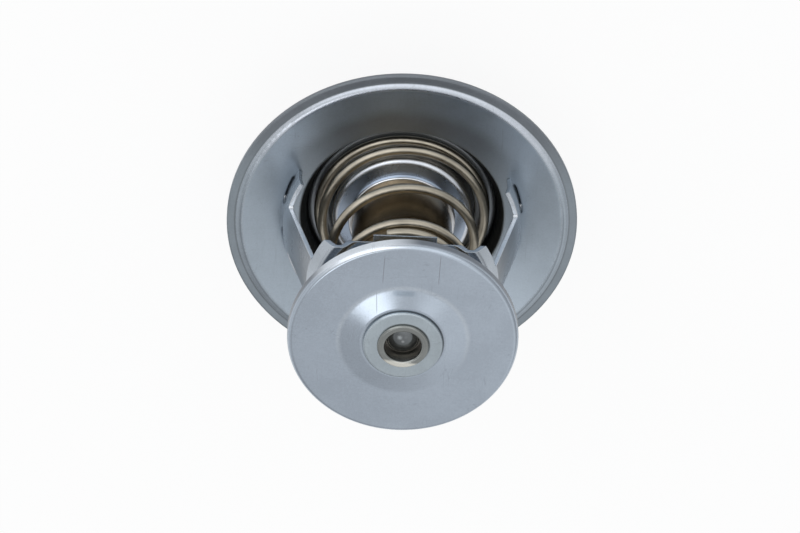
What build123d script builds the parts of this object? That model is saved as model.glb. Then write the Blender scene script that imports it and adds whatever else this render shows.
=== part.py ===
"""Engine thermostat insert with a bypass disc: a stamped round flange, a stirrup frame, a return
spring, a wax capsule that carries the main valve, and a sprung bypass disc on a headed stem.

Frame: millimetres, Z is the valve axis and points from the bridge side to the bypass disc.
The origin is the centre of the flange rim's upper face. The stirrup's legs stand along X.
"""
import os
from math import cos, radians, sin, sqrt, tan

from build123d import *

# ---- flange: stamped steel sheet -------------------------------------------------------------
rim_r = 33.5  # radius of the clamped rim
flange_t = 0.9
rim_flat = 1.6  # width of the flat clamping face
bead_rise = 0.5  # small step between the rim and the funnel
bead_run = 1.0
funnel_deg = 13.0  # the funnel falls towards the valve
throat_knee_h = 2.0  # height of the throat's knee above the valve's seat

# ---- main valve plate ------------------------------------------------------------------------
plate_t = 0.8
plate_r = 17.65
plate_rim_z = -5.7  # upper face of the rim, where the spring stands
plate_rim_w = 3.65  # width of the rim, up to the foot of the raised centre
plate_wall_run = 0.7
plate_shoulder_h = 3.7  # height of the raised centre at its shoulder, and beside the capsule
plate_top_h = 4.15
plate_play = 0.55  # gap round the plate in the throat
seat_lap = 1.25  # width of the seat under the plate's edge

# ---- capsule ---------------------------------------------------------------------------------
cup_r = 9.55
cup_wall = 0.8
cup_end_z = 25.0
cup_corner = 1.7
bore_corner_r = 0.9
crimp_lap = 1.65  # the wide end stands out this far and carries the valve plate
crimp_wall = 1.0
crimp_t = 0.7
nipple_r = 3.4
nipple_h = 2.6
nipple_floor = 0.2  # the stem's socket ends this far above the cup's end face
collar_t = 0.7
collar_h = 1.1
piston_r = 2.2
piston_play = 0.06
piston_gap = 13.0  # from the piston's tip to the capsule's closed end
piston_head_lap = 1.0
piston_head_h = 0.8
sleeve_flange_t = 1.0
sleeve_wall = 3.0  # rubber round the piston, at the flange and at the tip
sleeve_tip_wall = 1.2
sleeve_end = 2.4  # rubber beyond the piston's tip
guide_flange_t = 1.5
guide_body_w = 4.0  # wall of the guide round the piston
guide_body_h = 3.9
guide_nose_w = 2.8
guide_nose_h = 3.0
seal_w = 1.9
seal_h = 1.7
backup_h = 0.8

# ---- lower frame (stirrup) -------------------------------------------------------------------
frame_t = 0.8
band_r = 22.8  # outer face of the curved band that stands on the flange
band_top_z = 3.3
band_half_deg = 28.0
leg_bend_z = 1.7  # the legs lean in above this height
leg_half_w = 5.0
capsule_clear = 0.35  # free play of the capsule in the head's guide hole
head_seat_w = 3.6  # flat round the hole, in which the spring ends
head_step_run = 1.3
head_ring_w = 1.6  # raised ring
head_skirt_run = 1.5
head_edge_z = 20.0
head_seat_h = 0.3  # heights above the head's edge
head_ring_h = 2.3
head_side_cut = 0.25  # the head's two sides are cut straight, this far inside the hole's radius
ear_half_w = 5.9  # so each side keeps an ear beside the hole
ear_w = 1.4
inner_corner_r = 0.6  # where a leg leaves its band

# ---- tongues that lock the frame and the bridge to the flange ---------------------------------
tongue_from_deg = 8.0
tongue_to_deg = 22.5
tongue_reach = 2.6
tongue_gap = 0.05
slot_play = 0.3
slot_play_in = 0.15

# ---- upper bridge ----------------------------------------------------------------------------
bridge_t = 1.2
foot_reach = 4.2  # the feet reach this far beyond the band
foot_half_w = 11.2
strap_clear = 1.3  # gap between the strap and the flange's throat
strap_half_w = 7.0
bridge_flat_r = 9.6
guide_clear = 2.95  # gap between the guide's nose and the pressed socket
socket_h = 1.5  # the middle is pressed in, so that the piston's head stands back
socket_lap = 1.7
socket_run = 0.6

# ---- bypass valve ----------------------------------------------------------------------------
disc_r = 21.2
disc_t = 0.8
disc_z = 37.5  # front face
disc_skirt = 2.2
disc_bend = 1.5
boss_r = 11.5
boss_run = 3.9
boss_rise = 0.8
washer_r = 7.3
washer_t = 0.7
hub_r = 4.1
hub_wall = 0.74
hub_lip_w = 0.65
hub_lip_h = 0.5
hub_shoulder_t = 0.85
hub_nose_h = 3.6  # below the disc's back
hub_step_h = 2.1  # depth of the bore's floor below the boss
shank_r = 1.7
shank_play = 0.08
stem_head_lap = 1.3
stem_head_edge = 0.4
stem_head_dome = 1.1
head_gap = 0.05

# ---- springs: turns are counted anticlockwise, from main_phase or bypass_phase ------------------
main_wire = 1.8
main_phase = -86.7
main_wall_gap = 0.75  # gap between the spring's wide end and the edge of the valve plate
main_cup_gap = 0.45  # gap between its narrow end and the capsule
main_path = (  # turn, share of the width, share of the height
    (-0.4, 1.0, 0.0),
    (0.0, 1.0, 0.0),
    (0.6, 0.98, 0.081),
    (1.0, 0.94, 0.124),
    (1.75, 0.55, 0.436),
    (2.25, 0.49, 0.641),
    (3.0, 0.167, 0.919),
    (4.04, 0.0, 1.0),
)
bypass_wire = 1.1
bypass_phase = 40.0
bypass_gap = 0.1  # gap between the spring's wide end and the capsule's rounded corner
bypass_hub_gap = 0.35
bypass_path = (
    (0.0, 1.0, 0.0),
    (0.75, 1.0, 0.055),
    (3.45, 0.0, 0.945),
    (4.2, 0.0, 1.0),
)
steps_per_turn = 8

# ---- derived: radii --------------------------------------------------------------------------
funnel_r = rim_r - rim_flat - bead_run
throat_r = plate_r + plate_play
throat_knee_r = throat_r + 0.15
throat_edge_r = throat_r + 1.45
seat_r = plate_r - seat_lap
plate_wall_r = plate_r - plate_rim_w
plate_shoulder_r = plate_wall_r - plate_wall_run
crimp_r = cup_r + crimp_lap
crimp_in_r = cup_r - cup_wall + 0.05
piston_bore_r = piston_r + piston_play
piston_head_r = piston_r + piston_head_lap
guide_hole_r = cup_r + capsule_clear
head_seat_r = guide_hole_r + head_seat_w
head_ring_in_r = head_seat_r + head_step_run
head_ring_r = head_ring_in_r + head_ring_w
head_edge_r = head_ring_r + head_skirt_run
slot_in_r = band_r - frame_t - slot_play_in
slot_out_r = band_r + slot_play
foot_r = band_r + foot_reach
strap_r = throat_r + flange_t + strap_clear
socket_r = piston_head_r + socket_lap
main_big_r = plate_r - main_wall_gap - main_wire / 2
main_small_r = cup_r + main_cup_gap + main_wire / 2
bypass_big_r = cup_r - cup_corner - bypass_gap - bypass_wire / 2
bypass_small_r = hub_r + bypass_hub_gap + bypass_wire / 2
hub_shoulder_r = bypass_small_r + bypass_wire / 2 + 0.65
hub_bore_r = hub_r - hub_wall
hub_lip_r = hub_r + hub_lip_w
stem_head_r = shank_r + stem_head_lap

# ---- derived: slopes and heights ---------------------------------------------------------------
funnel_slope = tan(radians(funnel_deg))
funnel_depth = flange_t / cos(radians(funnel_deg))
foot_depth = bridge_t / cos(radians(funnel_deg))
seat_z = plate_rim_z - plate_t
plate_top_z = plate_rim_z + plate_top_h
plate_slope = (plate_top_h - plate_shoulder_h) / (plate_shoulder_r - cup_r)
plate_depth = plate_t * sqrt(1 + plate_slope**2)
bore_z = plate_top_z - plate_depth - crimp_lap * plate_slope - cup_wall
guide_face_z = bore_z - sleeve_flange_t
crimp_z = guide_face_z - guide_flange_t
guide_body_z = crimp_z - guide_body_h
guide_nose_z = guide_body_z - guide_nose_h
socket_z = guide_nose_z - guide_clear
bridge_z = socket_z - socket_h
bridge_out_z = bridge_z - bridge_t
strap_bend_z = seat_z - flange_t - 1.2
piston_tip_z = cup_end_z - piston_gap
piston_head_z = socket_z - bridge_t - piston_head_h
bore_end_z = piston_tip_z + piston_play
sleeve_tip_z = piston_tip_z + sleeve_end
seal_z = guide_face_z - seal_h
backup_z = seal_z - backup_h
nipple_z = cup_end_z + nipple_h
stem_foot_z = cup_end_z + nipple_floor
head_seat_z = head_edge_z + head_seat_h
head_ring_z = head_edge_z + head_ring_h
boss_z = disc_z + boss_rise
hub_seat_z = boss_z - disc_t
spring_seat_z = hub_seat_z - hub_shoulder_t
hub_rear_z = hub_seat_z - hub_nose_h
hub_step_z = boss_z - hub_step_h
washer_z = boss_z + washer_t
lip_z = washer_z + hub_lip_h
stem_head_z = hub_step_z + head_gap
standing = (Align.CENTER, Align.CENTER, Align.MIN)
hanging = (Align.CENTER, Align.CENTER, Align.MAX)


def funnel_z(r):
    """Height of the funnel's upper face at a radius."""
    return bead_rise - (funnel_r - r) * funnel_slope


def foot_z(r):
    """Height of the flange's back, on which the bridge's feet lie."""
    return funnel_z(r) - funnel_depth


def tongue_z(r):
    """Height of the bent tongues' upper face, behind the feet."""
    return foot_z(r) - foot_depth - tongue_gap


def plate_back_z(r):
    """Height of the valve plate's back, under its raised centre."""
    return plate_top_z - plate_depth - (r - cup_r) * plate_slope


def sector(inner_r, outer_r, middle_deg, half_deg):
    """Face of a ring sector."""
    outer = CenterArc((0, 0), outer_r, middle_deg - half_deg, 2 * half_deg, mode=Mode.PRIVATE)
    inner = CenterArc((0, 0), inner_r, middle_deg - half_deg, 2 * half_deg, mode=Mode.PRIVATE)
    start = Line(outer @ 0, inner @ 0, mode=Mode.PRIVATE)
    end = Line(outer @ 1, inner @ 1, mode=Mode.PRIVATE)
    make_face([outer, inner, start, end])


def slots():
    """Four curved slots, two on each side, through which the tongues pass."""
    middle_r = (slot_in_r + slot_out_r) / 2
    for side in (0, 180):
        for start in (tongue_from_deg, -tongue_to_deg):
            span = tongue_to_deg - tongue_from_deg
            arc = CenterArc((0, 0), middle_r, side + start, span, mode=Mode.PRIVATE)
            SlotArc(arc, slot_out_r - slot_in_r)


def eased(stations, turn):
    """The two shares on a smooth line through the stations."""
    count = len(stations)
    low = 0
    while low < count - 2 and turn > stations[low + 1][0]:
        low += 1
    values = []
    for k in (1, 2):
        slopes = []
        for i in (low, low + 1):
            if i == 0 or i == count - 1:
                slopes.append(0.0)
            else:
                before = (stations[i][k] - stations[i - 1][k]) / (stations[i][0] - stations[i - 1][0])
                after = (stations[i + 1][k] - stations[i][k]) / (stations[i + 1][0] - stations[i][0])
                slopes.append(0.0 if before * after <= 0 else 2 * before * after / (before + after))
        span = stations[low + 1][0] - stations[low][0]
        u = (turn - stations[low][0]) / span
        a, b = stations[low][k], stations[low + 1][k]
        values.append(
            a * (1 + 2 * u) * (1 - u) ** 2
            + b * u * u * (3 - 2 * u)
            + span * (slopes[0] * u * (1 - u) ** 2 - slopes[1] * u * u * (1 - u))
        )
    return values


def coil(stations, phase, wide_r, narrow_r, low_z, high_z):
    """Line of a coiled wire: arcs that run smoothly into each other, from its stations."""
    first, last = stations[0][0], stations[-1][0]
    steps = round((last - first) * steps_per_turn)
    angle = radians(phase + 360 * first)
    heading = Vector(-sin(angle), cos(angle), 0)
    point = Vector(wide_r * cos(angle), wide_r * sin(angle), low_z)
    arcs = []
    for i in range(1, steps + 1):
        turn = first + (last - first) * i / steps
        width, height = eased(stations, turn)
        angle = radians(phase + 360 * turn)
        r = narrow_r + (wide_r - narrow_r) * width
        z = low_z + (high_z - low_z) * height
        arc = TangentArc(point, (r * cos(angle), r * sin(angle), z), tangent=heading, mode=Mode.PRIVATE)
        arcs.append(arc)
        point = arc @ 1
        heading = arc % 1
    return Wire(arcs)


# ---- flange ----------------------------------------------------------------------------------
with BuildPart() as flange:
    with BuildSketch(Plane.XZ):
        with BuildLine():
            FilletPolyline(
                (rim_r, 0),
                (rim_r - rim_flat, 0),
                (funnel_r, bead_rise),
                (throat_edge_r, funnel_z(throat_edge_r)),
                (throat_knee_r, seat_z + throat_knee_h),
                (throat_r, seat_z),
                (seat_r, seat_z),
                radius=(0.5, 1.6, 0.4, 1.5, 0.4),
            )
            offset(amount=flange_t, side=Side.LEFT)
        make_face()
    revolve(axis=Axis.Z)
    with BuildSketch(Plane.XY.offset(seat_z)):
        slots()
    extrude(amount=-seat_z + bead_rise, mode=Mode.SUBTRACT)

# ---- lower frame: band, legs, dished head and tongues, from one sheet --------------------------
with BuildPart() as frame_outline:
    for side in (0, 180):
        for sign in (1, -1):
            middle = side + sign * (tongue_from_deg + tongue_to_deg) / 2
            with BuildSketch(Plane.XY.offset(tongue_z(band_r) - 2 * frame_t)):
                half = (tongue_to_deg - tongue_from_deg) / 2
                sector(band_r - 2 * frame_t, band_r + tongue_reach, middle, half)
            extrude(amount=funnel_z(band_r) - tongue_z(band_r) + 2 * frame_t)
        with BuildSketch(Plane.XY.offset(funnel_z(band_r))):
            sector(band_r - 4 * frame_t, band_r + frame_t, side, band_half_deg)
        extrude(amount=band_top_z - funnel_z(band_r))
    with BuildSketch(Plane.XY.offset(funnel_z(band_r))):
        Rectangle(2 * (band_r + frame_t), 2 * leg_half_w)
    extrude(amount=head_edge_z - funnel_z(band_r))
    inner_corners = frame_outline.edges().filter_by(Axis.X).filter_by_position(
        Axis.Z, band_top_z - 0.01, band_top_z + 0.01
    )
    fillet(inner_corners, radius=inner_corner_r)
    with BuildSketch(Plane.XY.offset(head_edge_z)):
        Rectangle(2 * (head_edge_r + frame_t), 2 * (guide_hole_r - head_side_cut))
        Rectangle(2 * ear_half_w, 2 * (guide_hole_r + ear_w))
    extrude(amount=head_ring_z - head_edge_z + frame_t)

with BuildPart() as lower_frame:
    with BuildSketch(Plane.XZ):
        with BuildLine():
            FilletPolyline(
                (band_r + tongue_reach, tongue_z(band_r + tongue_reach)),
                (band_r, tongue_z(band_r)),
                (band_r, leg_bend_z),
                (head_edge_r, head_edge_z),
                (head_ring_r, head_ring_z),
                (head_ring_in_r, head_ring_z),
                (head_seat_r, head_seat_z),
                (guide_hole_r, head_seat_z),
                radius=(0.3, 2.5, 1.5, 1.0, 0.5, 1.0),
            )
            offset(amount=frame_t, side=Side.LEFT)
        make_face()
    revolve(axis=Axis.Z)
    add(frame_outline.part, mode=Mode.INTERSECT)

# ---- upper bridge: feet under the flange, strap and pressed socket -----------------------------
with BuildPart() as bridge_outline:
    with BuildSketch(Plane.XY.offset(bridge_out_z)):
        Rectangle(2 * foot_r, 2 * strap_half_w)
    extrude(amount=funnel_z(rim_r) - bridge_out_z)
    with BuildSketch(Plane.XY.offset(foot_z(strap_r) - 2 * foot_depth)):
        Rectangle(2 * foot_r, 2 * foot_half_w)
        Rectangle(2 * strap_r, 2 * foot_half_w, mode=Mode.SUBTRACT)
    extrude(amount=funnel_z(rim_r) - foot_z(strap_r) + 2 * foot_depth)

with BuildPart() as upper_bridge:
    with BuildSketch(Plane.XZ):
        with BuildLine():
            FilletPolyline(
                (foot_r, foot_z(foot_r)),
                (strap_r, foot_z(strap_r)),
                (strap_r, strap_bend_z),
                (bridge_flat_r, bridge_z),
                (socket_r, bridge_z),
                (socket_r - socket_run, socket_z),
                (piston_r, socket_z),
                radius=(0.6, 1.5, 2.0, 0.4, 0.4),
            )
            offset(amount=bridge_t, side=Side.LEFT)
        make_face()
    revolve(axis=Axis.Z)
    add(bridge_outline.part, mode=Mode.INTERSECT)
    with BuildSketch(Plane.XY.offset(seat_z)):
        slots()
    extrude(amount=-seat_z, mode=Mode.SUBTRACT)

# ---- main valve plate ------------------------------------------------------------------------
with BuildPart() as valve_plate:
    with BuildSketch(Plane.XZ):
        with BuildLine():
            FilletPolyline(
                (plate_r, plate_rim_z),
                (plate_wall_r, plate_rim_z),
                (plate_shoulder_r, plate_rim_z + plate_shoulder_h),
                (cup_r, plate_top_z),
                radius=(0.4, 1.1),
            )
            offset(amount=plate_t, side=Side.LEFT)
        make_face()
    revolve(axis=Axis.Z)
    with BuildSketch(Plane.XY.offset(seat_z)):
        Circle(cup_r)
    extrude(amount=-seat_z, mode=Mode.SUBTRACT)

# ---- main spring: closed turns on the valve plate, narrowing to the head ----------------------
with BuildPart() as main_spring:
    main_low_z = plate_rim_z + main_wire / 2
    main_high_z = head_seat_z - frame_t - main_wire / 2
    path = coil(main_path, main_phase, main_big_r, main_small_r, main_low_z, main_high_z)
    with BuildSketch(Plane(path @ 0, z_dir=path % 0)):
        Circle(main_wire / 2)
    sweep(path=path)

# ---- capsule: cup, guide, retainer and what they seal in ---------------------------------------
with BuildPart() as capsule_cup:
    with BuildSketch(Plane.XZ) as cup_section:
        with BuildLine():
            Polyline(
                (0, nipple_z),
                (nipple_r, nipple_z),
                (nipple_r, cup_end_z),
                (cup_r, cup_end_z),
                (cup_r, plate_back_z(cup_r)),
                (crimp_r, plate_back_z(crimp_r)),
                (crimp_r, crimp_z - crimp_t),
                (crimp_in_r, crimp_z - crimp_t),
                (crimp_in_r, crimp_z),
                (crimp_r - crimp_wall, crimp_z),
                (crimp_r - crimp_wall, bore_z),
                (cup_r - cup_wall, bore_z),
                (cup_r - cup_wall, cup_end_z - cup_wall),
                (0, cup_end_z - cup_wall),
                close=True,
            )
        make_face()
        fillet(cup_section.vertices().sort_by_distance((cup_r, cup_end_z))[0], radius=cup_corner)
        fillet(cup_section.vertices().sort_by_distance((nipple_r, nipple_z))[0], radius=0.5)
        fillet(cup_section.vertices().sort_by_distance((crimp_r, crimp_z - crimp_t))[0], radius=0.6)
        bore_corner = (cup_r - cup_wall, cup_end_z - cup_wall)
        fillet(cup_section.vertices().sort_by_distance(bore_corner)[0], radius=bore_corner_r)
    revolve(axis=Axis.Z)
    with Locations((0, 0, nipple_z)):
        Cylinder(shank_r, nipple_z - stem_foot_z, align=hanging, mode=Mode.SUBTRACT)

with BuildPart() as capsule_guide:
    with BuildSketch(Plane.XZ) as guide_section:
        with BuildLine():
            Polyline(
                (crimp_r - crimp_wall, guide_face_z),
                (crimp_r - crimp_wall, crimp_z),
                (piston_r + guide_body_w, crimp_z),
                (piston_r + guide_body_w, guide_body_z),
                (piston_r + guide_nose_w, guide_body_z),
                (piston_r + guide_nose_w, guide_nose_z),
                (piston_bore_r, guide_nose_z),
                (piston_bore_r, backup_z),
                (piston_r + seal_w, backup_z),
                (piston_r + seal_w, guide_face_z),
                close=True,
            )
        make_face()
        nose_corner = (piston_r + guide_nose_w, guide_nose_z)
        chamfer(guide_section.vertices().sort_by_distance(nose_corner)[0], length=0.8)
        body_corner = (piston_r + guide_body_w, guide_body_z)
        chamfer(guide_section.vertices().sort_by_distance(body_corner)[0], length=0.4)
    revolve(axis=Axis.Z)

with BuildPart() as plate_retainer:
    with BuildSketch(Plane.XY.offset(plate_top_z)):
        Circle(cup_r + collar_t)
        Circle(cup_r, mode=Mode.SUBTRACT)
    extrude(amount=collar_h)
    fillet(plate_retainer.edges().group_by(Axis.Z)[-1].sort_by(SortBy.RADIUS)[-1], radius=0.35)

with BuildPart() as backup_washer:
    with BuildSketch(Plane.XY.offset(backup_z)):
        Circle(piston_r + seal_w)
        Circle(piston_bore_r, mode=Mode.SUBTRACT)
    extrude(amount=backup_h)

with BuildPart() as piston_seal:
    with BuildSketch(Plane.XY.offset(seal_z)):
        Circle(piston_r + seal_w)
        Circle(piston_bore_r, mode=Mode.SUBTRACT)
    extrude(amount=seal_h)

with BuildPart() as rubber_sleeve:
    with BuildSketch(Plane.XZ) as sleeve_section:
        with BuildLine():
            Polyline(
                (piston_bore_r, guide_face_z),
                (crimp_r - crimp_wall, guide_face_z),
                (crimp_r - crimp_wall, bore_z),
                (piston_r + sleeve_wall, bore_z),
                (piston_r + sleeve_tip_wall, sleeve_tip_z),
                (0, sleeve_tip_z),
                (0, bore_end_z),
                (piston_bore_r, bore_end_z),
                close=True,
            )
        make_face()
        tip_corner = (piston_r + sleeve_tip_wall, sleeve_tip_z)
        fillet(sleeve_section.vertices().sort_by_distance(tip_corner)[0], radius=1.2)
    revolve(axis=Axis.Z)

with BuildPart() as wax_charge:
    with Locations((0, 0, bore_z)):
        Cylinder(cup_r - cup_wall, cup_end_z - cup_wall - bore_z, align=standing)
    fillet(wax_charge.edges().group_by(Axis.Z)[-1], radius=bore_corner_r)
    add(rubber_sleeve.part, mode=Mode.SUBTRACT)
    with Locations((0, 0, bore_z)):
        Cylinder(piston_bore_r, bore_end_z - bore_z, align=standing, mode=Mode.SUBTRACT)

with BuildPart() as piston:
    with BuildSketch(Plane.XZ) as piston_section:
        with BuildLine():
            Polyline(
                (0, piston_tip_z),
                (piston_r, piston_tip_z),
                (piston_r, socket_z - bridge_t),
                (piston_head_r, socket_z - bridge_t),
                (piston_head_r, piston_head_z),
                (0, piston_head_z),
                close=True,
            )
        make_face()
        chamfer(piston_section.vertices().sort_by_distance((piston_r, piston_tip_z))[0], length=0.6)
        fillet(piston_section.vertices().sort_by_distance((piston_head_r, piston_head_z))[0], radius=0.5)
    revolve(axis=Axis.Z)

# ---- bypass valve: headed stem, disc, hub and spring --------------------------------------------
with BuildPart() as stem:
    with BuildSketch(Plane.XZ):
        with BuildLine():
            dome_top = (0, stem_head_z + stem_head_edge + stem_head_dome)
            dome_edge = (stem_head_r, stem_head_z + stem_head_edge)
            RadiusArc(dome_edge, dome_top, -(stem_head_r**2 + stem_head_dome**2) / (2 * stem_head_dome))
            Polyline(
                dome_edge,
                (stem_head_r, stem_head_z),
                (shank_r, stem_head_z),
                (shank_r, stem_foot_z),
                (0, stem_foot_z),
                dome_top,
            )
        make_face()
    revolve(axis=Axis.Z)

with BuildPart() as bypass_disc:
    with BuildSketch(Plane.XZ):
        with BuildLine():
            FilletPolyline(
                (disc_r, disc_z - disc_skirt),
                (disc_r, disc_z),
                (boss_r, disc_z),
                (boss_r - boss_run, boss_z),
                (hub_r, boss_z),
                radius=(disc_bend, 6.0, 2.0),
            )
            offset(amount=disc_t, side=Side.LEFT)
        make_face()
    revolve(axis=Axis.Z)

with BuildPart() as hub_washer:
    with BuildSketch(Plane.XY.offset(boss_z)):
        Circle(washer_r)
        Circle(hub_r, mode=Mode.SUBTRACT)
    extrude(amount=washer_t)
    fillet(hub_washer.edges().group_by(Axis.Z)[-1].sort_by(SortBy.RADIUS)[-1], radius=0.25)

with BuildPart() as hub_bush:
    with BuildSketch(Plane.XZ) as hub_section:
        with BuildLine():
            Polyline(
                (shank_r + shank_play, hub_rear_z),
                (shank_r + shank_play, hub_step_z),
                (hub_bore_r, hub_step_z),
                (hub_bore_r, lip_z),
                (hub_lip_r, lip_z),
                (hub_lip_r, washer_z),
                (hub_r, washer_z),
                (hub_r, hub_seat_z),
                (hub_shoulder_r, hub_seat_z),
                (hub_shoulder_r, spring_seat_z),
                (hub_r, spring_seat_z),
                (hub_r, hub_rear_z),
                close=True,
            )
        make_face()
        fillet(hub_section.vertices().sort_by_distance((hub_lip_r, lip_z))[0], radius=0.4)
        fillet(hub_section.vertices().sort_by_distance((hub_bore_r, lip_z))[0], radius=0.4)
        chamfer(hub_section.vertices().sort_by_distance((hub_r, hub_rear_z))[0], length=0.5)
    revolve(axis=Axis.Z)

with BuildPart() as bypass_spring:
    bypass_low_z = cup_end_z + bypass_wire / 2
    bypass_high_z = spring_seat_z - bypass_wire / 2
    path = coil(bypass_path, bypass_phase, bypass_big_r, bypass_small_r, bypass_low_z, bypass_high_z)
    with BuildSketch(Plane(path @ 0, z_dir=path % 0)):
        Circle(bypass_wire / 2)
    sweep(path=path)

pieces = {
    "flange": flange,
    "lower_frame": lower_frame,
    "upper_bridge": upper_bridge,
    "piston": piston,
    "main_spring": main_spring,
    "valve_plate": valve_plate,
    "capsule_cup": capsule_cup,
    "capsule_guide": capsule_guide,
    "plate_retainer": plate_retainer,
    "backup_washer": backup_washer,
    "piston_seal": piston_seal,
    "rubber_sleeve": rubber_sleeve,
    "wax_charge": wax_charge,
    "stem": stem,
    "bypass_spring": bypass_spring,
    "bypass_disc": bypass_disc,
    "hub_bush": hub_bush,
    "hub_washer": hub_washer,
}
os.makedirs("parts", exist_ok=True)
for name, piece in pieces.items():
    piece.part.label = name
    export_step(piece.part, f"parts/{name}.step")
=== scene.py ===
"""Looks of the engine thermostat insert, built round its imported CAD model, in metres and in its frame."""
import math

import bpy
import numpy as np
from mathutils import Matrix, Vector


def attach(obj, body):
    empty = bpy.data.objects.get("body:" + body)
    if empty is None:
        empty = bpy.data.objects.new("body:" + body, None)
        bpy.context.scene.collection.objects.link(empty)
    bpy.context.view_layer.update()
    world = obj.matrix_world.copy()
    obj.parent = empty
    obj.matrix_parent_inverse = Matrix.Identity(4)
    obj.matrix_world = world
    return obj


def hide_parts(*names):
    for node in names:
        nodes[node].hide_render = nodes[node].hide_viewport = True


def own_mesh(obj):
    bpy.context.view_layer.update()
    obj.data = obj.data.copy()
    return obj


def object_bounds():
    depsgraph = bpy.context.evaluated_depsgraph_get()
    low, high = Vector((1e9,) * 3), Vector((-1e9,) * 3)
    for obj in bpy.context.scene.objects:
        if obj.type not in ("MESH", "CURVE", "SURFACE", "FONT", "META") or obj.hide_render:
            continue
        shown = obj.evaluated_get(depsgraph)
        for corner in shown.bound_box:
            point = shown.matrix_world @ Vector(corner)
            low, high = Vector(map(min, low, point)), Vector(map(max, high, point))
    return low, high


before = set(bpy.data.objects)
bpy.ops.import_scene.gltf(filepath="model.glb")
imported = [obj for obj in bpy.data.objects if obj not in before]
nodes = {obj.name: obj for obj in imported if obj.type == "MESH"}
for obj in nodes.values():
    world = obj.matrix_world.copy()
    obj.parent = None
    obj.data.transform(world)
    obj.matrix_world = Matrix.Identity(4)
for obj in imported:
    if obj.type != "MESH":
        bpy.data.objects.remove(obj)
cad_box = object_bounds()
scene = bpy.context.scene
scene.view_settings.view_transform = "Standard"

MM_PER_M = 1000

# ---- camera: fitted to the rim and the disc ------------------------------------------------------
CAMERA_PLACE = (0.023008, -0.399037, 0.574665)
CAMERA_RIGHT = (-0.998706, -0.050683, 0.004160)
CAMERA_BACK = (0.032805, -0.579591, 0.814247)

camera_data = bpy.data.cameras.new("camera")
camera_data.sensor_width = 36.0
camera_data.lens = 164.66
camera = bpy.data.objects.new("camera", camera_data)
back = Vector(CAMERA_BACK).normalized()
up = back.cross(Vector(CAMERA_RIGHT)).normalized()
right = up.cross(back)
camera_turn = Matrix((right, up, back)).transposed().to_4x4()
camera.matrix_world = Matrix.Translation(CAMERA_PLACE) @ camera_turn
scene.collection.objects.link(camera)
scene.camera = camera


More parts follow.
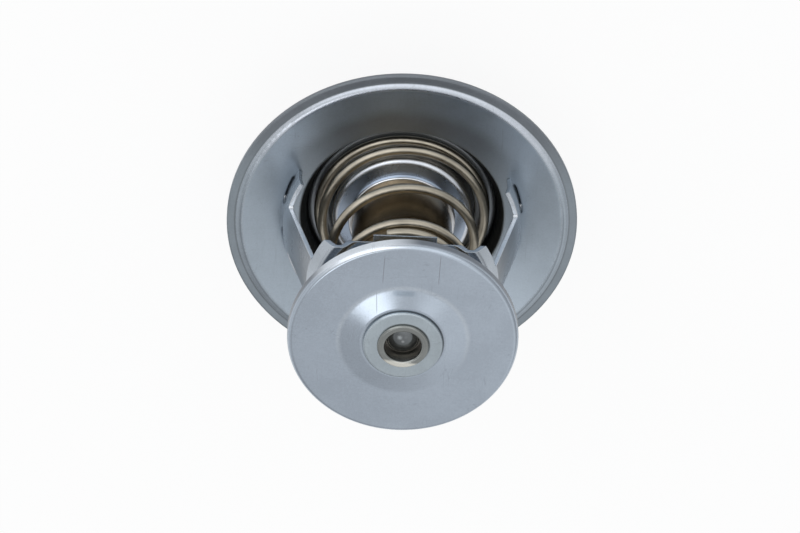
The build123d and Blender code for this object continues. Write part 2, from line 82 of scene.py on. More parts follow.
# ---- node helpers --------------------------------------------------------------------------------
class Nodes:
    """A node tree, with short ways to add what is used below."""

    def __init__(self, owner, place="Object"):
        owner.use_nodes = True
        self.tree = owner.node_tree
        self.tree.nodes.clear()
        self.place = self.add("ShaderNodeTexCoord").outputs[place]

    def add(self, kind, **settings):
        node = self.tree.nodes.new(kind)
        for key, value in settings.items():
            setattr(node, key, value)
        return node

    def link(self, a, b):
        self.tree.links.new(a, b)

    def put(self, socket, value):
        """Links an output to a socket, or sets the socket to a value."""
        if hasattr(value, "is_output"):
            self.link(value, socket)
        else:
            socket.default_value = value

    def math(self, operation, a, b=0.0):
        node = self.add("ShaderNodeMath", operation=operation)
        self.put(node.inputs[0], a)
        self.put(node.inputs[1], b)
        return node.outputs[0]

    def times(self, *factors):
        """Product of masks and numbers."""
        product = factors[0]
        for factor in factors[1:]:
            product = self.math("MULTIPLY", product, factor)
        return product

    def apart(self, value, centre=0.0):
        """How far a value is from a centre, on either side of it."""
        return self.math("ABSOLUTE", self.math("SUBTRACT", value, centre))

    def ramp(self, value, low, high, a=0.0, b=1.0, smooth=True):
        """a where the value is low or less, b where it is high or more."""
        node = self.add("ShaderNodeMapRange")
        node.interpolation_type = "SMOOTHSTEP" if smooth else "LINEAR"
        self.put(node.inputs[0], value)
        for socket, number in zip(node.inputs[1:5], (low, high, a, b)):
            socket.default_value = number
        return node.outputs[0]

    def rise(self, value, start, full):
        """0 up to start, 1 from full on."""
        return self.ramp(value, start, full, 0.0, 1.0)

    def fall(self, value, full, end):
        """1 up to full, 0 from end on."""
        return self.ramp(value, full, end, 1.0, 0.0)

    def outside(self, start, full):
        """0 within start of the Z axis, 1 from full outward."""
        return self.rise(self.reach(), start, full)

    def inside(self, full, end):
        """1 within full of the Z axis, 0 from end outward."""
        return self.fall(self.reach(), full, end)

    def above(self, start, full):
        """0 up to the height start, 1 from full upward."""
        return self.rise(self.axis("Z"), start, full)

    def below(self, full, end):
        """1 up to the height full, 0 from end upward."""
        return self.fall(self.axis("Z"), full, end)

    def axis(self, letter):
        """One coordinate of the place: X, Y or Z."""
        node = self.add("ShaderNodeSeparateXYZ")
        self.link(self.place, node.inputs[0])
        return node.outputs[letter]

    def toward(self, direction):
        """How far the place lies in a direction."""
        node = self.add("ShaderNodeVectorMath", operation="DOT_PRODUCT")
        self.link(self.place, node.inputs[0])
        node.inputs[1].default_value = Vector(direction).normalized()
        return node.outputs["Value"]

    def reach(self, centre=(0.0, 0.0)):
        """Distance from an upright axis."""
        moved = self.add("ShaderNodeVectorMath", operation="SUBTRACT")
        self.link(self.place, moved.inputs[0])
        moved.inputs[1].default_value = (*centre, 0.0)
        flat = self.add("ShaderNodeVectorMath", operation="MULTIPLY")
        self.link(moved.outputs[0], flat.inputs[0])
        flat.inputs[1].default_value = (1, 1, 0)
        length = self.add("ShaderNodeVectorMath", operation="LENGTH")
        self.link(flat.outputs[0], length.inputs[0])
        return length.outputs["Value"]

    def stretch(self, scale, turn=0.0):
        """The place, scaled along each axis and turned about Z by an angle in radians."""
        node = self.add("ShaderNodeMapping")
        self.link(self.place, node.inputs[0])
        node.inputs["Scale"].default_value = scale
        node.inputs["Rotation"].default_value = (0, 0, turn)
        return node.outputs[0]

    def noise(self, vector, scale, detail, roughness):
        node = self.add("ShaderNodeTexNoise")
        self.link(vector, node.inputs["Vector"])
        node.inputs["Scale"].default_value = scale
        node.inputs["Detail"].default_value = detail
        node.inputs["Roughness"].default_value = roughness
        return node.outputs[0]

    def scratch(self, scale, turn, width, sparse):
        """Thin wandering lines along one direction, in patches."""
        field = self.noise(self.stretch(scale, turn), scale=1.0, detail=1.0, roughness=0.4)
        patches = self.noise(self.place, scale=sparse, detail=1.0, roughness=0.5)
        line = self.fall(self.apart(field, centre=0.5), full=0.0, end=width)
        return self.times(line, self.rise(patches, start=0.5, full=0.62))

    def blend(self, share, a, b):
        """Colour a where the share is 0, colour b where it is 1."""
        node = self.add("ShaderNodeMix", data_type="RGBA")
        self.put(node.inputs[0], share)
        self.put(node.inputs[6], a if hasattr(a, "is_output") else (*a, 1.0))
        self.put(node.inputs[7], b if hasattr(b, "is_output") else (*b, 1.0))
        return node.outputs[2]

    def bump(self, height, strength, distance, normal=None):
        node = self.add("ShaderNodeBump")
        node.inputs["Strength"].default_value = strength
        node.inputs["Distance"].default_value = distance
        self.link(height, node.inputs["Height"])
        if normal is not None:
            self.link(normal, node.inputs["Normal"])
        return node.outputs[0]


class Look(Nodes):
    """A material on one Principled shader."""

    def __init__(self, name, metal):
        self.material = bpy.data.materials.new(name)
        super().__init__(self.material)
        self.shader = self.add("ShaderNodeBsdfPrincipled")
        self.output = self.add("ShaderNodeOutputMaterial")
        self.link(self.shader.outputs[0], self.output.inputs[0])
        self.shader.inputs["Metallic"].default_value = 1.0 if metal else 0.0

    def finish(self, color, rough, normal):
        self.link(color, self.shader.inputs["Base Color"])
        self.link(rough, self.shader.inputs["Roughness"])
        self.link(normal, self.shader.inputs["Normal"])
        return self


# ---- kinds of material ---------------------------------------------------------------------------
# Spans of a noise's value over which tint and roughness change.
NARROW_SPAN = (0.36, 0.64)
MIDDLE_SPAN = (0.35, 0.65)
WIDE_SPAN = (0.3, 0.7)

EDGE_SAMPLES = 6
SCRATCH_SHADE = 0.62  # colour of a scratch, as a share of the sheet's
SCRATCH_SHARE = 0.30  # how much of that colour shows


def shade(color, factor):
    return tuple(min(1.0, c * factor) for c in color)


def clouded(m, value, span, color, tone):
    """A colour that a noise darkens and lightens by the share tone."""
    return m.blend(m.ramp(value, *span), shade(color, 1 - tone), shade(color, 1 + tone))


def zoned(m, mixed, tint, gloss, zones, tone, rough):
    """Gives parts of a surface their own colour and roughness; zones are (mask, color, roughness)."""
    for mask, other, matt in zones:
        where = mask(m)
        tint = m.blend(where, tint, clouded(m, mixed, NARROW_SPAN, other, tone))
        gloss = m.math("ADD", gloss, m.times(where, matt - rough))
    return tint, gloss


def sheet(name, color, rough, grain=0.02, tone=0.07, rolled=0.25, grit=0.1, edge=0.0, zones=()):
    """Rolled sheet: faint cloudy tone, fine rolling lines, specks and thin scratches.

    tone and grain are the swings of colour and roughness, rolled and grit the shares of the lines and
    of the specks in them, and edge is the radius at which cut edges look rounded.
    """
    m = Look(name, metal=True)
    cloud = m.noise(m.place, scale=140, detail=4.0, roughness=0.55)
    lines = m.noise(m.stretch((5200, 260, 1400), turn=0.06), scale=1.0, detail=3.0, roughness=0.6)
    specks = m.noise(m.place, scale=2600, detail=2.0, roughness=0.6)
    marks = m.math(
        "MAXIMUM",
        m.scratch((900, 60, 60), turn=0.3, width=0.010, sparse=150),
        m.scratch((70, 800, 60), turn=-0.5, width=0.008, sparse=190),
    )
    mixed = m.math("ADD", m.times(cloud, 1 - rolled - grit), m.times(lines, rolled))
    mixed = m.math("ADD", mixed, m.times(specks, grit))
    tint = clouded(m, mixed, NARROW_SPAN, color, tone)
    gloss = m.ramp(mixed, *MIDDLE_SPAN, rough - grain, rough + grain)
    tint, gloss = zoned(m, mixed, tint, gloss, zones, tone, rough)
    tint = m.blend(m.times(marks, SCRATCH_SHARE), tint, shade(color, SCRATCH_SHADE))
    worn = None
    if edge:
        bevel = m.add("ShaderNodeBevel", samples=EDGE_SAMPLES)
        bevel.inputs["Radius"].default_value = edge
        worn = bevel.outputs[0]
    uneven = m.bump(cloud, strength=0.12, distance=0.0002, normal=worn)
    return m.finish(tint, gloss, m.bump(lines, strength=0.2 * rolled, distance=0.00002, normal=uneven))


def wire(name, color, rough, spread=0.04):
    """Drawn wire: soft patches of tone and a nearly even gloss; spread is the swing of roughness."""
    m = Look(name, metal=True)
    patch = m.noise(m.place, scale=240, detail=4.0, roughness=0.6)
    drawn = m.noise(m.place, scale=700, detail=2.0, roughness=0.5)
    stained, bright = 0.86, 1.12
    tint = m.blend(m.ramp(patch, *WIDE_SPAN), shade(color, stained), shade(color, bright))
    gloss = m.ramp(drawn, *WIDE_SPAN, rough - spread, rough + spread)
    return m.finish(tint, gloss, m.bump(patch, strength=0.05, distance=0.00005))


def turned(name, color, rough, tone=0.25, depth=0.3, spread=0.06, zones=()):
    """Turned metal: fine rings, one above the other along Z.

    tone and spread are the swings of colour and roughness, and depth is the strength of the rings.
    """
    m = Look(name, metal=True)
    rings = m.noise(m.stretch((60, 60, 5200)), scale=1.0, detail=3.0, roughness=0.7)
    patch = m.noise(m.place, scale=260, detail=3.0, roughness=0.5)
    mixed = m.math("ADD", m.times(rings, 0.5), m.times(patch, 0.5))
    tint = clouded(m, mixed, MIDDLE_SPAN, color, tone)
    gloss = m.ramp(rings, *WIDE_SPAN, rough - spread, rough + spread)
    tint, gloss = zoned(m, mixed, tint, gloss, zones, tone, rough)
    return m.finish(tint, gloss, m.bump(rings, strength=depth, distance=0.00004))


def plain(name, color, rough, tone=0.2, spread=0.06):
    """Rubber, plastic or wax: fine specks; tone and spread are the swings of colour and roughness."""
    m = Look(name, metal=False)
    specks = m.noise(m.place, scale=900, detail=4.0, roughness=0.6)
    tint = clouded(m, specks, MIDDLE_SPAN, color, tone)
    gloss = m.ramp(specks, *WIDE_SPAN, rough - spread, rough + spread)
    return m.finish(tint, gloss, m.bump(specks, strength=0.2, distance=0.00005))


# ---- masks of the zones --------------------------------------------------------------------------
# Each is 0 away from its zone and up to 1 on it, by place on the part in metres. "Near" is the side at
# -Y, on which the photograph's camera stands, and the photograph's left is +X.
SHADED_SIDE = (-0.55, -0.83, 0)  # where the painted shade in the gaps round the washer and the lip is darkest
LEG_TOP = dict(full=0.0192, end=0.0200)  # heights between which the legs pass into the frame's head


def thin_ring(m, radius, width):
    """A line round the Z axis, gone at this width to either side."""
    return m.fall(m.apart(m.reach(), radius), full=0.0, end=width)


# flange
def clamped_rim(m):
    return m.outside(start=0.0317, full=0.0320)


def bead(m):
    """The small step between the rim and the funnel."""
    return m.times(m.outside(start=0.0302, full=0.0308), m.inside(full=0.0318, end=0.0321))


def near(m):
    return m.fall(m.axis("Y"), full=-0.022, end=-0.008)


def near_funnel(m):
    return m.times(near(m), m.inside(full=0.0304, end=0.0308))


# Painted reflection: a lighter tint on the left of the funnel's near side.
def near_left_painted_reflection(m):
    return m.times(near_funnel(m), m.rise(m.axis("X"), start=0.011, full=0.0205))


# Painted reflection: a darker tint on the right of the funnel's near side.
def near_right_painted_reflection(m):
    return m.times(near_funnel(m), m.fall(m.axis("X"), full=-0.0205, end=-0.011))


# Painted reflection: a darker, bluer tint in the middle of the funnel's near side.
def near_middle_painted_reflection(m):
    return m.times(near_funnel(m), m.fall(m.apart(m.axis("X")), full=0.008, end=0.019))


def near_foot_painted_shade(m):
    """Painted shade: the lower part of the funnel, round the frame's bands, tinted darker."""
    return m.times(near_funnel(m), m.ramp(m.reach(), low=0.0230, high=0.0266, a=0.85, b=0.0))


# Painted reflection: the bead tinted lighter on the near side.
def near_bead_painted_reflection(m):
    return m.times(near(m), bead(m))


# Painted reflection: the clamped rim tinted darker on the near side.
def near_rim_painted_reflection(m):
    return m.times(near(m), clamped_rim(m))


def foot_line_painted_shade(m):
    """Painted shade: a dark line where the bead meets the rim."""
    strength = 0.8
    return m.times(thin_ring(m, radius=0.03198, width=0.00024), strength)


def crest_line_painted_shade(m):
    """Painted shade: a dark line where the bead meets the funnel, on the far half."""
    strength = 0.7
    far = m.rise(m.axis("Y"), start=-0.009, full=-0.002)
    return m.times(thin_ring(m, radius=0.0309, width=0.00026), far, strength)


# Painted shade: the throat's wall tinted nearly black.
def throat_painted_shade(m):
    return m.times(m.inside(full=0.0193, end=0.0198), m.below(full=-0.0026, end=-0.0021))


# lower frame
def leg(m):
    """The leaning part of each leg, with streaks of dark reflections along it."""
    leaning = m.times(m.above(start=0.002, full=0.008), m.below(**LEG_TOP))
    wander = m.noise(m.stretch((150, 420, 45)), scale=1.0, detail=2.0, roughness=0.5)
    return m.times(leaning, m.ramp(wander, low=0.40, high=0.62, a=1.0, b=0.7))


def cut_edge_painted_highlight(m):
    """Painted highlight: the two sides of the legs, whose strip is 10 mm wide, tinted pale."""
    along = m.times(m.above(start=0.002, full=0.004), m.below(**LEG_TOP))
    return m.times(along, m.rise(m.apart(m.axis("Y")), start=0.00492, full=0.00499))


# valve plate
def plate_edge(m):
    return m.outside(start=0.0140, full=0.0144)


# Painted reflection: the plate's raised middle tinted dark blue.
def plate_middle_painted_reflection(m):
    return m.inside(full=0.0122, end=0.0126)


# hub and stem
def lip_gap_painted_shade(m):
    """Painted shade: a dark line on the washer, round the lip of the bush."""
    shaded = m.rise(m.toward(SHADED_SIDE), start=-0.001, full=0.003)
    return m.times(thin_ring(m, radius=0.00482, width=0.00028), shaded)


# Painted highlight: the far part of the bush's lip tinted pale and glossy.
def far_lip_painted_highlight(m):
    far = m.rise(m.toward((0.12, 0.99, 0)), start=0.0030, full=0.0037)
    return m.times(m.outside(start=0.0034, full=0.0037), far)


def bore(m):
    return m.times(m.inside(full=0.00338, end=0.0035), m.below(full=0.0386, end=0.0391))


def dome_painted_shade(m):
    """Painted shade: the stem's head tinted dark, less so at its very middle."""
    strength = m.ramp(m.reach(), low=0.0001, high=0.0004, a=0.3, b=1.0)
    return m.times(strength, m.inside(full=0.0029, end=0.0032))


# Painted highlight: a pale line round the far edge of the stem's head.
def dome_edge_painted_highlight(m):
    far = m.rise(m.axis("Y"), start=-0.001, full=0.0012)
    return m.times(thin_ring(m, radius=0.0027, width=0.00022), far)


# bypass disc
def boss_line_painted_highlight(m):
    """Painted highlight: a pale line at the foot of the boss, strongest on the near side."""
    strength = m.ramp(m.axis("Y"), low=-0.002, high=0.008, a=0.5, b=0.0)
    return m.times(thin_ring(m, radius=0.0119, width=0.0007), strength)


# Painted shade: the disc's skirt tinted dark.
def skirt_painted_shade(m):
    return m.below(full=0.0364, end=0.0372)


# Painted highlight: the disc's edge on the lit near side, tinted pale and glossy.
def disc_edge_painted_highlight(m):
    lit = m.rise(m.toward((0.42, -0.91, 0)), start=0.0180, full=0.0208)
    return m.times(m.outside(start=0.0203, full=0.0207), lit)


def boss_painted_dark_reflection(m):
    """Painted reflection: a dark patch on the slope of the boss, on the near side."""
    strength = 0.6
    across = m.fall(m.apart(m.axis("X"), centre=0.0003), full=0.0012, end=0.0026)
    outward = m.fall(m.apart(m.axis("Y"), centre=-0.0108), full=0.0002, end=0.0008)
    return m.times(across, outward, strength)


def streak(m, start, end, width):
    """Thin straight scratch between two points, seen from above."""
    inner, outer = 0.001, 0.0005  # each end fades from inner, short of its point, to outer, past it
    a, b = Vector(start), Vector(end)
    along = (b - a).normalized()
    side = Vector((-along[1], along[0]))
    off = m.apart(m.toward((*side, 0)), a.dot(side))
    run = m.toward((*along, 0))
    first, last = a.dot(along), b.dot(along)
    inside = m.times(m.rise(run, first - outer, first + inner), m.fall(run, last - inner, last + outer))
    return m.times(m.fall(off, full=0.0, end=width), inside)


def scratches(m):
    strength = 0.7
    first = streak(m, (0.0042, -0.0187), (0.0043, -0.0129), width=0.00016)
    second = streak(m, (-0.0059, -0.0194), (-0.0058, -0.0130), width=0.00016)
    third = streak(m, (0.0053, -0.0106), (0.0051, -0.0066), width=0.00014)
    return m.times(m.math("MAXIMUM", first, m.math("MAXIMUM", second, third)), strength)


def washer_gap_painted_shade(m):
    """Painted shade: a dark line on the boss, round the washer."""
    shaded = m.ramp(m.toward(SHADED_SIDE), low=-0.004, high=0.005, a=0.35, b=1.0)
    return m.times(thin_ring(m, radius=0.00738, width=0.0003), shaded)


# ---- materials -----------------------------------------------------------------------------------
# Zones are (mask, color, roughness), and later ones lie over earlier ones.
flange_zones = (
    # painted reflection, lighter
    (near_left_painted_reflection, (0.60, 0.69, 0.79), 0.35),
    # painted reflection, darker
    (near_right_painted_reflection, (0.42, 0.49, 0.57), 0.38),
    # painted reflection, darker and bluer
    (near_middle_painted_reflection, (0.38, 0.455, 0.56), 0.38),
    # painted shade round the frame's bands
    (near_foot_painted_shade, (0.26, 0.29, 0.33), 0.4),
    (bead, (0.40, 0.45, 0.50), 0.25),
    # painted reflection, lighter
    (near_bead_painted_reflection, (0.62, 0.66, 0.72), 0.33),
    (clamped_rim, (0.31, 0.35, 0.385), 0.42),
    # painted reflection, darker
    (near_rim_painted_reflection, (0.24, 0.26, 0.285), 0.42),
    # painted shade in the crease
    (foot_line_painted_shade, (0.20, 0.22, 0.24), 0.4),
    # painted shade along the crest
    (crest_line_painted_shade, (0.22, 0.25, 0.28), 0.35),
    # painted shade, nearly black
    (throat_painted_shade, (0.06, 0.063, 0.066), 0.45),
)
frame_zones = (
    (leg, (0.235, 0.255, 0.28), 0.3),
    # painted highlight
    (cut_edge_painted_highlight, (0.72, 0.75, 0.79), 0.24),
)
plate_zones = (
    (plate_edge, (0.30, 0.32, 0.34), 0.4),
    # painted reflection, dark blue
    (plate_middle_painted_reflection, (0.42, 0.49, 0.60), 0.28),
)
washer_zones = (
    # painted shade in the gap
    (lip_gap_painted_shade, (0.12, 0.13, 0.13), 0.4),
)
bush_zones = (
    # painted highlight
    (far_lip_painted_highlight, (0.88, 0.86, 0.78), 0.12),
    (bore, (0.28, 0.27, 0.25), 0.3),
)
stem_zones = (
    # painted shade
    (dome_painted_shade, (0.17, 0.18, 0.185), 0.18),
    # painted highlight
    (dome_edge_painted_highlight, (0.75, 0.75, 0.72), 0.25),
)
disc_zones = (
    # painted highlight
    (boss_line_painted_highlight, (0.62, 0.67, 0.73), 0.2),
    (skirt_painted_shade, (0.17, 0.19, 0.22), 0.3),
    # painted highlight on the lit near edge
    # painted shade
    (disc_edge_painted_highlight, (0.74, 0.79, 0.85), 0.22),
    # painted dark reflection
    (boss_painted_dark_reflection, (0.30, 0.37, 0.44), 0.2),
    (scratches, (0.30, 0.32, 0.36), 0.3),
    # painted shade in the gap
    (washer_gap_painted_shade, (0.10, 0.11, 0.12), 0.4),
)

looks = {
    "flange": sheet("flange_steel", (0.43, 0.49, 0.55), rough=0.35, tone=0.06,
                    rolled=0.08, grit=0.35, edge=0.0006, zones=flange_zones),
    "lower_frame": sheet("frame_steel", (0.46, 0.50, 0.545), rough=0.26,
                         rolled=0.1, grit=0.05, edge=0.0002, zones=frame_zones),
    "upper_bridge": sheet("bridge_steel", (0.45, 0.49, 0.53), rough=0.32),
    "valve_plate": sheet("valve_steel", (0.72, 0.75, 0.80), rough=0.26, grain=0.01, tone=0.05,
                         rolled=0.0, grit=0.0, edge=0.0007, zones=plate_zones),
    "hub_washer": sheet("washer_steel", (0.47, 0.53, 0.57), rough=0.30,
                        rolled=0.08, grit=0.3, edge=0.00045, zones=washer_zones),
    "plate_retainer": turned("retainer_steel", (0.82, 0.83, 0.85), rough=0.2,
                             tone=0.04, depth=0.1, spread=0.03),
    "hub_bush": turned("hub_steel", (0.29, 0.30, 0.29), rough=0.2,
                       tone=0.08, depth=0.05, spread=0.03, zones=bush_zones),
    "stem": turned("stem_steel", (0.45, 0.46, 0.47), rough=0.27,
                   tone=0.08, depth=0.05, spread=0.03, zones=stem_zones),
    "piston": turned("piston_steel", (0.66, 0.67, 0.69), rough=0.15, tone=0.05, depth=0.1),
    "capsule_cup": turned("cup_brass", (0.25, 0.195, 0.125), rough=0.22,
                          tone=0.08, depth=0.03, spread=0.03),
    "capsule_guide": turned("guide_brass", (0.62, 0.48, 0.25), rough=0.3),
    "rubber_sleeve": plain("sleeve_rubber", (0.03, 0.03, 0.03), rough=0.6),
    "piston_seal": plain("seal_rubber", (0.03, 0.03, 0.03), rough=0.6),
    "backup_washer": plain("backup_plastic", (0.7, 0.69, 0.65), rough=0.5),
    "wax_charge": plain("wax", (0.5, 0.42, 0.28), rough=0.55),
}
for name, look in looks.items():
    nodes[name].data.materials.clear()
    nodes[name].data.materials.append(look.material)


# ---- builders of the mesh pieces -----------------------------------------------------------------
SAWN_BEVEL = 0.12  # broken edge of a spring's cut end, in millimetres
FILLET_STEP = math.radians(7)
SHARP_ANGLE = math.radians(28)  # edges of a turned piece that are sharper than this stay sharp


def placed(name, verts, faces):
    """An object of these vertices and faces, in the scene."""
    mesh = bpy.data.meshes.new(name)
    mesh.from_pydata(verts, [], faces)
    piece = bpy.data.objects.new(name, mesh)
    scene.collection.objects.link(piece)
    return piece


def eased(stations, turn):
    """Shares of width and height at a turn: a cubic through the stations that never overshoots them."""
    count = len(stations)
    low = 0
    while low < count - 2 and turn > stations[low + 1][0]:
        low += 1
    values = []
    for k in (1, 2):
        slopes = []
        for i in (low, low + 1):
            if i == 0 or i == count - 1:
                slopes.append(0.0)
            else:
                before = (stations[i][k] - stations[i - 1][k]) / (stations[i][0] - stations[i - 1][0])
                after = (stations[i + 1][k] - stations[i][k]) / (stations[i + 1][0] - stations[i][0])
                slopes.append(0.0 if before * after <= 0 else 2 * before * after / (before + after))
        span = stations[low + 1][0] - stations[low][0]
        u = (turn - stations[low][0]) / span
        a, b = stations[low][k], stations[low + 1][k]
        values.append(
            a * (1 + 2 * u) * (1 - u) ** 2
            + b * u * u * (3 - 2 * u)
            + span * (slopes[0] * u * (1 - u) ** 2 - slopes[1] * u * u * (1 - u))
        )
    return values


def spring(name, stations, phase, wide, narrow, low, high, thick, per_turn=72, sides=24):
    """A mesh tube along the coiled wire, with sawn ends; millimetres and degrees.

    stations are (turn, width, height). The middle of the wire is at radius narrow to wide for width 0
    to 1 and at low to high for height 0 to 1, phase is its angle at turn 0, and thick is its diameter.
    """
    first, last = stations[0][0], stations[-1][0]
    count = round((last - first) * per_turn)
    middles = []
    for i in range(count + 1):
        turn = first + (last - first) * i / count
        width, height = eased(stations, turn)
        angle = math.radians(phase + 360 * turn)
        r = narrow + (wide - narrow) * width
        middles.append((r * math.cos(angle), r * math.sin(angle), low + (high - low) * height))
    middles = np.array(middles) / MM_PER_M
    heading = np.gradient(middles, axis=0)
    heading /= np.linalg.norm(heading, axis=1)[:, None]
    outward = middles * (1, 1, 0)
    outward -= heading * (outward * heading).sum(axis=1)[:, None]
    outward /= np.linalg.norm(outward, axis=1)[:, None]
    across = np.cross(heading, outward)
    radius = thick / (2 * MM_PER_M)
    bevel = SAWN_BEVEL / MM_PER_M
    rings = [(0, 0.0, radius - bevel), (0, bevel, radius)]
    rings += [(i, 0.0, radius) for i in range(1, count)]
    rings += [(count, -bevel, radius), (count, 0.0, radius - bevel)]
    verts, faces = [], []
    for i, along, r in rings:
        centre = middles[i] + heading[i] * along
        for s in range(sides):
            a = 2 * math.pi * s / sides
            verts.append(tuple(centre + outward[i] * r * math.cos(a) + across[i] * r * math.sin(a)))
    for i in range(len(rings) - 1):
        for s in range(sides):
            t = (s + 1) % sides
            faces.append((i * sides + s, i * sides + t, (i + 1) * sides + t, (i + 1) * sides + s))
    faces.append(tuple(reversed(range(sides))))
    faces.append(tuple((len(rings) - 1) * sides + s for s in range(sides)))
    piece = placed(name, verts, faces)
    piece.data.polygons.foreach_set("use_smooth", [len(p.vertices) == 4 for p in piece.data.polygons])
    piece.data.update()
    return piece


def rounded(corners, fewest_steps=3):
    """Points of a section; each corner is (r, z) or (r, z, fillet radius), in millimetres."""
    points = []
    for i, corner in enumerate(corners):
        here = Vector(corner[:2])
        if len(corner) == 2:
            points.append(tuple(here))
            continue
        a = (Vector(corners[i - 1][:2]) - here).normalized()
        b = (Vector(corners[(i + 1) % len(corners)][:2]) - here).normalized()
        half = a.angle(b) / 2
        middle = here + (a + b).normalized() * corner[2] / math.sin(half)
        start = here + a * corner[2] / math.tan(half) - middle
        end = here + b * corner[2] / math.tan(half) - middle
        sweep = start.angle_signed(end)
        steps = max(fewest_steps, round(abs(sweep) / FILLET_STEP))
        for k in range(steps + 1):
            turn = -sweep * k / steps
            spun = (start[0] * math.cos(turn) - start[1] * math.sin(turn),
                    start[0] * math.sin(turn) + start[1] * math.cos(turn))
            points.append((middle[0] + spun[0], middle[1] + spun[1]))
    return points


def lathe(name, corners, around=160):
    """A closed section, clear of the Z axis, turned about that axis."""
    section = rounded(corners)
    count = len(section)
    angles = [2 * math.pi * k / around for k in range(around)]
    verts, faces = [], []
    for r, z in section:
        radius = r / MM_PER_M
        verts += [(radius * math.cos(a), radius * math.sin(a), z / MM_PER_M) for a in angles]
    for i in range(count):
        j = (i + 1) % count
        for k in range(around):
            t = (k + 1) % around
            faces.append((i * around + k, i * around + t, j * around + t, j * around + k))
    piece = placed(name, verts, faces)
    piece.data.polygons.foreach_set("use_smooth", [True] * len(piece.data.polygons))
    piece.data.update()
    piece.data.set_sharp_from_angle(angle=SHARP_ANGLE)
    return piece


# ---- springs -------------------------------------------------------------------------------------
main_stations = (
    (-0.4, 1.0, 0.0), (0.0, 1.0, 0.0), (0.6, 0.98, 0.081), (1.0, 0.94, 0.124),
    (1.75, 0.55, 0.436), (2.25, 0.49, 0.641), (3.0, 0.167, 0.919), (4.04, 0.0, 1.0),
)
spring_look = wire("spring_wire", (0.45, 0.41, 0.335), rough=0.33)
main = spring("main_spring_coil", main_stations, phase=-86.7,
              wide=16.0, narrow=10.9, low=-4.8, high=18.6, thick=1.8)
main.data.materials.append(spring_look.material)
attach(main, "frame")
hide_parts("main_spring")
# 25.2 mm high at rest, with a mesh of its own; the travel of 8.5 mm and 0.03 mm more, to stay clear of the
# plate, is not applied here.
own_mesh(main)

bypass_stations = ((0.0, 1.0, 0.0), (0.75, 1.0, 0.055), (3.45, 0.0, 0.945), (4.2, 0.0, 1.0))
small = spring("bypass_spring_coil", bypass_stations, phase=40.0,
               wide=7.2, narrow=5.0, low=25.55, high=36.1, thick=1.1)
small.data.materials.append(spring_look.material)
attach(small, "valve")
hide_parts("bypass_spring")
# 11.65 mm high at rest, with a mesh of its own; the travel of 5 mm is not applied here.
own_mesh(small)

# ---- bypass disc: one pressed section, with a tighter bend and a softer foot of the boss ---------
disc = lathe("bypass_disc_pressed", (
    (21.2, 35.3), (21.2, 37.5, 1.0), (11.75, 37.5, 5.0), (7.9, 38.3, 1.5), (4.1, 38.3),
    (4.1, 37.5), (7.8, 37.5), (11.9, 36.7), (20.4, 36.7), (20.4, 35.3),
))
disc_look = sheet("disc_steel", (0.485, 0.545, 0.62), rough=0.16, grain=0.01, tone=0.045,
                  rolled=0.05, grit=0.4, zones=disc_zones)
disc.data.materials.append(disc_look.material)
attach(disc, "bypass")
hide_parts("bypass_disc")

# ---- floor ---------------------------------------------------------------------------------------
WHITE = (1, 1, 1, 1)
PAPER_COLOR = (0.93, 0.93, 0.93, 1)
PAPER_ROUGHNESS = 0.9
FLOOR_HALF = 3.0
FLOOR_CORNERS = ((-1, -1), (1, -1), (1, 1), (-1, 1))
HIDDEN_MIDDLE = (-0.0007, 0.0125)  # middle of the floor that the flange hides from the camera
HIDDEN_RADII = (0.026, 0.031)  # no glow inside the first, where the shadow stays; all outside the second
CAMERA_GLOW = 0.9
GLOSSY_GLOW = 0.2

floor_z = cad_box[0][2]
floor_verts = [(x * FLOOR_HALF, y * FLOOR_HALF, floor_z) for x, y in FLOOR_CORNERS]
floor = placed("floor", floor_verts, [(0, 1, 2, 3)])
paper = Look("paper", metal=False)
paper.shader.inputs["Base Color"].default_value = PAPER_COLOR
paper.shader.inputs["Roughness"].default_value = PAPER_ROUGHNESS
glow = paper.add("ShaderNodeEmission")
glow.inputs["Color"].default_value = WHITE
glow.inputs["Strength"].default_value = 1.0
rays = paper.add("ShaderNodeLightPath")
open_floor = paper.ramp(paper.reach(HIDDEN_MIDDLE), *HIDDEN_RADII, 0.0, CAMERA_GLOW)
seen = paper.times(rays.outputs["Is Camera Ray"], open_floor)
mirrored = paper.times(rays.outputs["Is Glossy Ray"], GLOSSY_GLOW)
paper_mix = paper.add("ShaderNodeMixShader")
paper.link(paper.math("MAXIMUM", seen, mirrored), paper_mix.inputs[0])
paper.link(paper.shader.outputs[0], paper_mix.inputs[1])
paper.link(glow.outputs[0], paper_mix.inputs[2])
paper.link(paper_mix.outputs[0], paper.output.inputs[0])
floor.data.materials.append(paper.material)

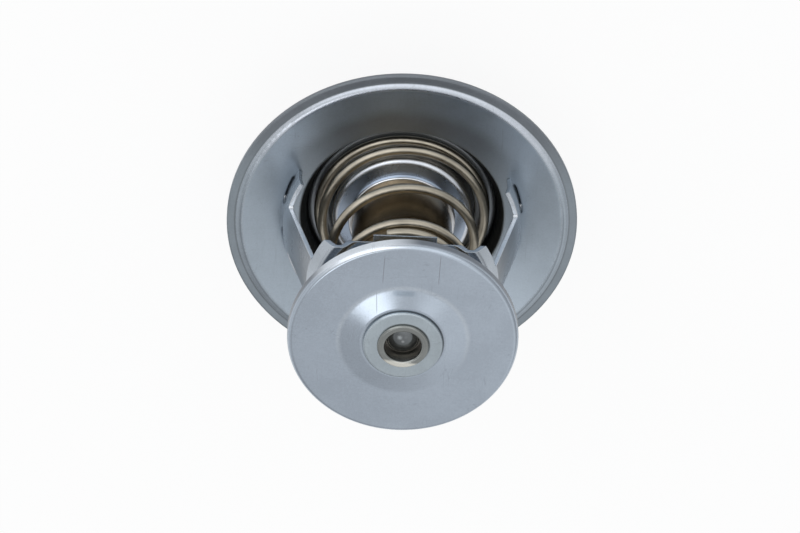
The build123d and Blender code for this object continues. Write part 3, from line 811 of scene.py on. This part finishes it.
# ---- light: a pale tent and soft lamps, with white in their place for camera rays ----------------
# Brightness of the tent along a direction: (direction, start, end, value at start, value at end, smooth).
# The first gives the brightness, and each of the others multiplies it.
TENT = (
    ((0, -0.26, 0.966), -0.3, 0.9, 0.58, 0.68, False),
    ((1, 0, 0), -0.45, 0.35, 1.3, 0.8, False),
    ((1, 0, 0), -0.9, -0.45, 0.6, 1.0, True),
    ((1, 0, 0), 0.4, 0.75, 1.0, 1.5, True),
    ((0, 1, 0), 0.65, 0.95, 1.0, 0.85, True),
)
LIGHT_COLOR = (0.97, 0.985, 1.0, 1)
WINDOW_WAY = (0.58, -0.81, 0)
WINDOW_SIDE = (0.81, 0.58, 0)
WINDOW_STRENGTH = 0.75

world = bpy.data.worlds.new("studio")
scene.world = world
sky = Nodes(world, "Generated")


def lamp(direction, inner, outer, strength):
    """Round soft lamp: full up to inner degrees from its middle, gone at outer."""
    edge, full = math.cos(math.radians(outer)), math.cos(math.radians(inner))
    return sky.ramp(sky.toward(direction), edge, full, 0.0, strength)


tent = sky.times(*(sky.ramp(sky.toward(way), *span, smooth=smooth) for way, *span, smooth in TENT))
left_box = lamp((0.20, 0.28, 0.94), inner=5, outer=11, strength=1.35)
right_box = lamp((-0.23, 0.245, 0.94), inner=3, outer=8, strength=0.25)
front = lamp((0, -0.60, 0.80), inner=15, outer=45, strength=0.4)
beside = sky.fall(sky.apart(sky.toward(WINDOW_SIDE)), full=0.25, end=0.42)
ahead = sky.ramp(sky.toward(WINDOW_WAY), low=0.25, high=0.5, a=0.0, b=WINDOW_STRENGTH)
window = sky.times(beside, ahead)
lamps = sky.math("ADD", sky.math("ADD", front, window), sky.math("ADD", left_box, right_box))
light = sky.add("ShaderNodeBackground")
light.inputs["Color"].default_value = LIGHT_COLOR
sky.link(sky.math("ADD", tent, lamps), light.inputs["Strength"])
white = sky.add("ShaderNodeBackground")
white.inputs["Color"].default_value = WHITE
white.inputs["Strength"].default_value = 1.0
sky_mix = sky.add("ShaderNodeMixShader")
sky.link(sky.add("ShaderNodeLightPath").outputs["Is Camera Ray"], sky_mix.inputs[0])
sky.link(light.outputs[0], sky_mix.inputs[1])
sky.link(white.outputs[0], sky_mix.inputs[2])
sky.link(sky_mix.outputs[0], sky.add("ShaderNodeOutputWorld").inputs[0])
